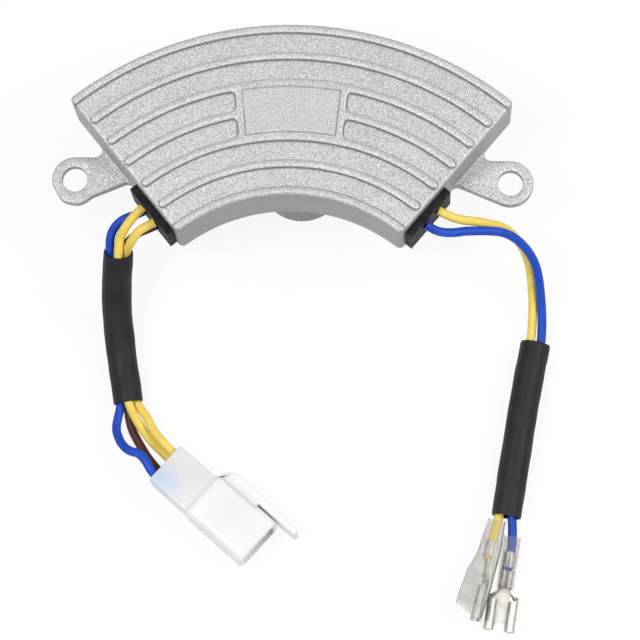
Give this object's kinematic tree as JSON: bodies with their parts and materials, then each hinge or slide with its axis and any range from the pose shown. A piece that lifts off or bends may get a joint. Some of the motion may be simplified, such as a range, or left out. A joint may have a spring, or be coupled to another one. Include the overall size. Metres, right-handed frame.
{
  "type": "automatic voltage regulator",
  "caption": "Curved, ribbed die-cast regulator with two mounting ears, potted electronics, a sleeved harness with a plug and a sleeved pair of spade terminals.",
  "frame": {"origin": "midway between the two mounting holes, on the plane of the ears' backs, which is also the housing's back rim", "axes": "+X along the line of the mounting holes, towards the tail with the spade terminals; +Y towards the outer arc; +Z out of the ribbed face, along the mounting holes"},
  "size_m": [0.1267, 0.1479, 0.0371],
  "materials": {
    "cast_aluminium": "sandblasted",
    "board": "solder resist",
    "can": "satin",
    "moulding": "matte",
    "insulator": "matte",
    "steel": "zinc plated",
    "resistor_body": "matte",
    "resin": "cast resin",
    "grommet_rubber": "matte",
    "blue_insulation": "satin",
    "brown_insulation": "satin",
    "yellow_insulation": "satin",
    "sleeve": "semi-matte",
    "white_nylon": "translucent",
    "tinned_brass": "tin plated",
    "clear_boot": "clear"
  },
  "bodies": {
    "root": {"housing": "cast_aluminium", "circuit_board": "board", "filter_capacitor": "can", "power_transistor": "moulding", "insulating_pad": "insulator", "transistor_screw": "steel", "power_resistors": "resistor_body", "rectifier_diodes": "moulding", "potting_compound": "resin", "left_grommet": "grommet_rubber", "right_grommet": "grommet_rubber", "left_blue_wire": "blue_insulation", "left_brown_wire": "brown_insulation", "left_yellow_wire": "yellow_insulation", "left_sensing_wire": "yellow_insulation", "left_sleeve": "sleeve", "connector_housing": "white_nylon", "connector_contacts": "tinned_brass", "right_yellow_wire": "yellow_insulation", "right_blue_wire": "blue_insulation", "right_sleeve": "sleeve", "yellow_terminal": "tinned_brass", "blue_terminal": "tinned_brass", "yellow_boot": "clear_boot", "blue_boot": "clear_boot"}
  },
  "joints": []
}
